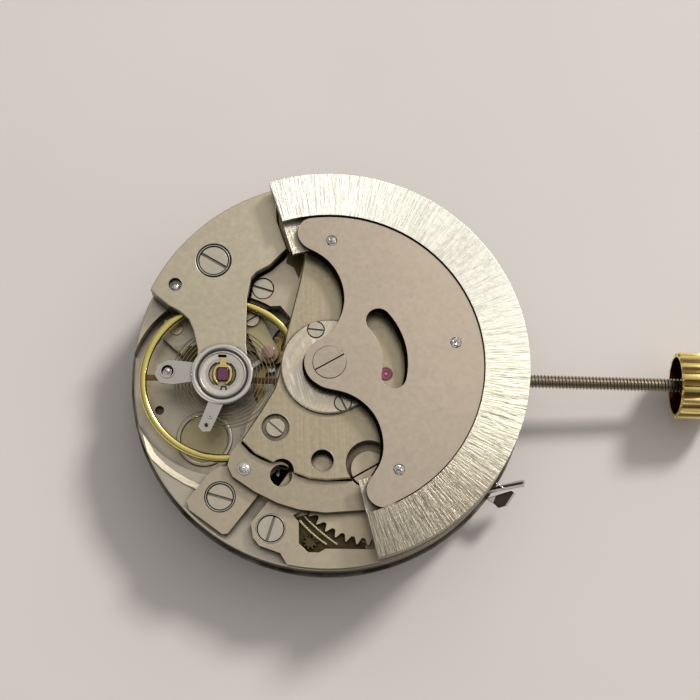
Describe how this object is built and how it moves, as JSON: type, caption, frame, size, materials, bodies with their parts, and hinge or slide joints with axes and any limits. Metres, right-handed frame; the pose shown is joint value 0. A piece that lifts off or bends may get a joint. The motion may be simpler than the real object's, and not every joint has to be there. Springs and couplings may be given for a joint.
{
  "type": "mechanical watch movement",
  "caption": "Round automatic watch movement with a winding rotor, going train, balance, date ring, stem and crown.",
  "frame": {"origin": "centre of the movement on the plane that the dial rests on", "axes": "+Z from the dial side to the rotor side, +X along the winding stem to the crown"},
  "size_m": [0.0388, 0.026, 0.0067],
  "materials": {
    "automatic_bridge": "straight grained nickel",
    "automatic_lower_bridge": "grained nickel",
    "automatic_screws": "polished steel",
    "balance_cock": "grained nickel",
    "balance_staff": "polished steel",
    "balance_wheel": "polished gold",
    "barrel_arbor": "polished steel",
    "barrel_bridge": "grained nickel",
    "barrel_cover": "circular grained brass",
    "barrel_drum": "circular grained brass",
    "bearing_cover": "brushed",
    "bridge_screws": "polished steel",
    "calendar_plate": "polished steel",
    "calendar_screws": "polished steel",
    "cannon_pinion": "polished steel",
    "click": "polished steel",
    "click_spring": "polished steel",
    "cover_screws": "polished steel",
    "crown": "polished gold",
    "crown_wheel": "polished steel",
    "date_idler": "circular grained brass",
    "date_ring": "white painted",
    "date_wheel": "circular grained brass",
    "dial_foot_clamp_1": "polished steel",
    "dial_foot_clamp_2": "polished steel",
    "dowels": "polished steel",
    "escape_wheel": "polished steel",
    "fourth_wheel": "circular grained brass",
    "great_wheel": "circular grained brass",
    "hairspring": "fine drawn",
    "hour_wheel": "circular grained brass",
    "jewels": "polished ruby",
    "main_plate": "grained nickel",
    "mainspring": "polished",
    "minute_wheel": "circular grained brass",
    "pallet_bridge": "grained nickel",
    "pallet_fork": "polished steel",
    "pallet_stones": "polished steel",
    "ratchet_screw": "polished steel",
    "ratchet_wheel": "polished steel",
    "reduction_wheel": "circular grained brass",
    "regulator": "polished steel",
    "reversing_pinion": "polished steel",
    "reversing_wheel": "circular grained brass",
    "rotor_axle": "polished steel",
    "rotor_rivets": "polished steel",
    "rotor_screw": "polished steel",
    "rotor_sheet": "fine matte",
    "rotor_weight": "coarse radial brushing",
    "setting_lever": "polished steel",
    "setting_wheel": "polished steel",
    "shock_blocks": "polished steel",
    "shock_springs": "gilt",
    "sliding_pinion": "polished steel",
    "stem": "polished steel",
    "stud_carrier": "polished steel",
    "third_wheel": "circular grained brass",
    "train_bridge": "grained nickel",
    "winding_pinion": "polished steel",
    "yoke": "polished steel"
  },
  "bodies": {
    "frame": {"main_plate": "main_plate", "balance_cock": "balance_cock", "train_bridge": "train_bridge", "barrel_bridge": "barrel_bridge", "pallet_bridge": "pallet_bridge", "automatic_lower_bridge": "automatic_lower_bridge", "automatic_bridge": "automatic_bridge", "bearing_cover": "bearing_cover", "bridge_screws": "bridge_screws", "automatic_screws": "automatic_screws", "cover_screws": "cover_screws", "dowels": "dowels", "jewels": "jewels", "shock_blocks": "shock_blocks", "shock_springs": "shock_springs", "hairspring": "hairspring", "click_spring": "click_spring", "calendar_plate": "calendar_plate", "calendar_screws": "calendar_screws"},
    "barrel": {"barrel_drum": "barrel_drum", "barrel_cover": "barrel_cover", "mainspring": "mainspring"},
    "ratchet": {"ratchet_wheel": "ratchet_wheel", "barrel_arbor": "barrel_arbor", "ratchet_screw": "ratchet_screw"},
    "great_wheel": {"great_wheel": "great_wheel"},
    "third_wheel": {"third_wheel": "third_wheel"},
    "fourth_wheel": {"fourth_wheel": "fourth_wheel"},
    "escape_wheel": {"escape_wheel": "escape_wheel"},
    "pallet_fork": {"pallet_fork": "pallet_fork", "pallet_stones": "pallet_stones"},
    "balance": {"balance_wheel": "balance_wheel", "balance_staff": "balance_staff"},
    "regulator": {"regulator": "regulator"},
    "stud_carrier": {"stud_carrier": "stud_carrier"},
    "winding_pinion": {"winding_pinion": "winding_pinion"},
    "sliding_pinion": {"sliding_pinion": "sliding_pinion"},
    "stem": {"stem": "stem", "crown": "crown"},
    "crown_wheel": {"crown_wheel": "crown_wheel"},
    "setting_lever": {"setting_lever": "setting_lever"},
    "yoke": {"yoke": "yoke"},
    "click": {"click": "click"},
    "cannon_pinion": {"cannon_pinion": "cannon_pinion"},
    "minute_wheel": {"minute_wheel": "minute_wheel"},
    "hour_wheel": {"hour_wheel": "hour_wheel"},
    "setting_wheel": {"setting_wheel": "setting_wheel"},
    "date_idler": {"date_idler": "date_idler"},
    "date_wheel": {"date_wheel": "date_wheel"},
    "date_ring": {"date_ring": "date_ring"},
    "dial_foot_clamp_1": {"dial_foot_clamp_1": "dial_foot_clamp_1"},
    "dial_foot_clamp_2": {"dial_foot_clamp_2": "dial_foot_clamp_2"},
    "rotor": {"rotor_sheet": "rotor_sheet", "rotor_weight": "rotor_weight", "rotor_rivets": "rotor_rivets", "rotor_axle": "rotor_axle", "rotor_screw": "rotor_screw"},
    "reversing_wheel": {"reversing_wheel": "reversing_wheel"},
    "reversing_pinion": {"reversing_pinion": "reversing_pinion"},
    "reduction_wheel": {"reduction_wheel": "reduction_wheel"}
  },
  "joints": [
    {"name": "great_wheel_turn", "type": "hinge", "parent": "frame", "child": "great_wheel", "pos_m": [-0.00217, -0.00359, 0.002], "axis": [0, 0, 1], "continuous": true},
    {"name": "barrel_turn", "type": "hinge", "parent": "frame", "child": "barrel", "pos_m": [0.0027, -0.0064, 0.002], "axis": [0, 0, 1], "continuous": true},
    {"name": "third_wheel_turn", "type": "hinge", "parent": "frame", "child": "third_wheel", "pos_m": [-0.0025, -0.00071, 0.002], "axis": [0, 0, 1], "continuous": true},
    {"name": "fourth_wheel_turn", "type": "hinge", "parent": "frame", "child": "fourth_wheel", "pos_m": [0, 0, 0.002], "axis": [0, 0, 1], "continuous": true},
    {"name": "escape_wheel_turn", "type": "hinge", "parent": "frame", "child": "escape_wheel", "pos_m": [-0.00184, 0.00178, 0.002], "axis": [0, 0, 1], "continuous": true},
    {"name": "pallet_fork_rock", "type": "hinge", "parent": "frame", "child": "pallet_fork", "pos_m": [-0.004, 0.00135, 0.002], "axis": [0, 0, 1], "range_deg": [-5, 5]},
    {"name": "balance_swing", "type": "hinge", "parent": "frame", "child": "balance", "pos_m": [-0.0068, -0.0007, 0.002], "axis": [0, 0, 1], "range_deg": [-270, 270], "stiffness_Nm_per_rad": 0.0000008},
    {"name": "regulator_turn", "type": "hinge", "parent": "frame", "child": "regulator", "pos_m": [-0.0068, -0.0007, 0.0044], "axis": [0, 0, 1], "range_deg": [-12, 12]},
    {"name": "stud_carrier_turn", "type": "hinge", "parent": "frame", "child": "stud_carrier", "pos_m": [-0.0068, -0.0007, 0.0042], "axis": [0, 0, 1], "range_deg": [-12, 12]},
    {"name": "stem_turn", "type": "hinge", "parent": "frame", "child": "winding_pinion", "pos_m": [0.00743, 0, 0.0021], "axis": [1, 0, 0], "continuous": true},
    {"name": "stem_pull", "type": "slide", "parent": "winding_pinion", "child": "stem", "axis": [1, 0, 0], "range_m": [0, 0.0009]},
    {"name": "sliding_pinion_shift", "type": "slide", "parent": "winding_pinion", "child": "sliding_pinion", "axis": [1, 0, 0], "range_m": [-0.0006, 0]},
    {"name": "setting_lever_turn", "type": "hinge", "parent": "frame", "child": "setting_lever", "pos_m": [0.00968, 0.0022, 0.0006], "axis": [0, 0, 1], "range_deg": [0, 23.44]},
    {"name": "yoke_turn", "type": "hinge", "parent": "frame", "child": "yoke", "pos_m": [0.00668, 0.0028, 0.0006], "axis": [0, 0, 1], "range_deg": [-12.28, 0]},
    {"name": "crown_wheel_turn", "type": "hinge", "parent": "frame", "child": "crown_wheel", "pos_m": [0.00556, 0, 0.003], "axis": [0, 0, 1], "continuous": true},
    {"name": "ratchet_turn", "type": "hinge", "parent": "frame", "child": "ratchet", "pos_m": [0.0027, -0.0064, 0.003], "axis": [0, 0, 1], "continuous": true},
    {"name": "reduction_wheel_turn", "type": "hinge", "parent": "frame", "child": "reduction_wheel", "pos_m": [0.00176, -0.00105, 0.003], "axis": [0, 0, 1], "continuous": true},
    {"name": "reversing_pinion_turn", "type": "hinge", "parent": "frame", "child": "reversing_pinion", "pos_m": [0.00364, -0.00034, 0.0035], "axis": [0, 0, 1], "continuous": true},
    {"name": "click_rock", "type": "hinge", "parent": "frame", "child": "click", "pos_m": [-0.0009, -0.0111, 0.003], "axis": [0, 0, 1], "range_deg": [-4, 14]},
    {"name": "rotor_turn", "type": "hinge", "parent": "frame", "child": "rotor", "pos_m": [0, 0, 0.005], "axis": [0, 0, 1], "continuous": true},
    {"name": "reversing_wheel_turn", "type": "hinge", "parent": "frame", "child": "reversing_wheel", "pos_m": [0.00364, -0.00034, 0.0037], "axis": [0, 0, 1], "continuous": true},
    {"name": "cannon_pinion_turn", "type": "hinge", "parent": "frame", "child": "cannon_pinion", "pos_m": [0, 0, 0.0005], "axis": [0, 0, 1], "continuous": true},
    {"name": "minute_wheel_turn", "type": "hinge", "parent": "frame", "child": "minute_wheel", "pos_m": [0.00181, 0.00158, 0.0005], "axis": [0, 0, 1], "continuous": true},
    {"name": "hour_wheel_turn", "type": "hinge", "parent": "frame", "child": "hour_wheel", "pos_m": [0, 0, 0.0003], "axis": [0, 0, 1], "continuous": true},
    {"name": "setting_wheel_turn", "type": "hinge", "parent": "frame", "child": "setting_wheel", "pos_m": [0.00448, 0, 0.0005], "axis": [0, 0, 1], "continuous": true},
    {"name": "date_idler_turn", "type": "hinge", "parent": "frame", "child": "date_idler", "pos_m": [-0.0026, 0.0015, 0.0004], "axis": [0, 0, 1], "continuous": true},
    {"name": "date_wheel_turn", "type": "hinge", "parent": "frame", "child": "date_wheel", "pos_m": [-0.00122, 0.00547, 0.0004], "axis": [0, 0, 1], "continuous": true},
    {"name": "date_ring_turn", "type": "hinge", "parent": "frame", "child": "date_ring", "pos_m": [0, 0, 0.0002], "axis": [0, 0, 1], "continuous": true},
    {"name": "dial_foot_clamp_1_turn", "type": "hinge", "parent": "frame", "child": "dial_foot_clamp_1", "pos_m": [0.00862, -0.00776, 0.0012], "axis": [0, 0, 1], "range_deg": [-10, 20]},
    {"name": "dial_foot_clamp_2_turn", "type": "hinge", "parent": "frame", "child": "dial_foot_clamp_2", "pos_m": [-0.00761, 0.00875, 0.0012], "axis": [0, 0, 1], "range_deg": [0, 15]}
  ],
  "couplings": [
    {"joint": "barrel_turn", "follows": "great_wheel_turn", "ratio": -0.15385},
    {"joint": "third_wheel_turn", "follows": "great_wheel_turn", "ratio": -8},
    {"joint": "fourth_wheel_turn", "follows": "great_wheel_turn", "ratio": 60},
    {"joint": "escape_wheel_turn", "follows": "great_wheel_turn", "ratio": -540},
    {"joint": "cannon_pinion_turn", "follows": "great_wheel_turn", "ratio": -1},
    {"joint": "minute_wheel_turn", "follows": "great_wheel_turn", "ratio": 0.33333},
    {"joint": "hour_wheel_turn", "follows": "great_wheel_turn", "ratio": -0.083333},
    {"joint": "setting_wheel_turn", "follows": "great_wheel_turn", "ratio": -0.46154},
    {"joint": "date_idler_turn", "follows": "great_wheel_turn", "ratio": 0.055556},
    {"joint": "date_wheel_turn", "follows": "great_wheel_turn", "ratio": -0.041667},
    {"joint": "crown_wheel_turn", "follows": "stem_turn", "ratio": -0.8},
    {"joint": "ratchet_turn", "follows": "stem_turn", "ratio": 0.38095},
    {"joint": "reduction_wheel_turn", "follows": "stem_turn", "ratio": -2.6667},
    {"joint": "reversing_pinion_turn", "follows": "stem_turn", "ratio": 12.667},
    {"joint": "sliding_pinion_shift", "follows": "stem_pull", "ratio": -0.66667},
    {"joint": "setting_lever_turn", "follows": "stem_pull", "rad_per_m": 454.54},
    {"joint": "yoke_turn", "follows": "stem_pull", "rad_per_m": -238.09},
    {"joint": "reversing_wheel_turn", "follows": "rotor_turn", "ratio": -0.5}
  ]
}
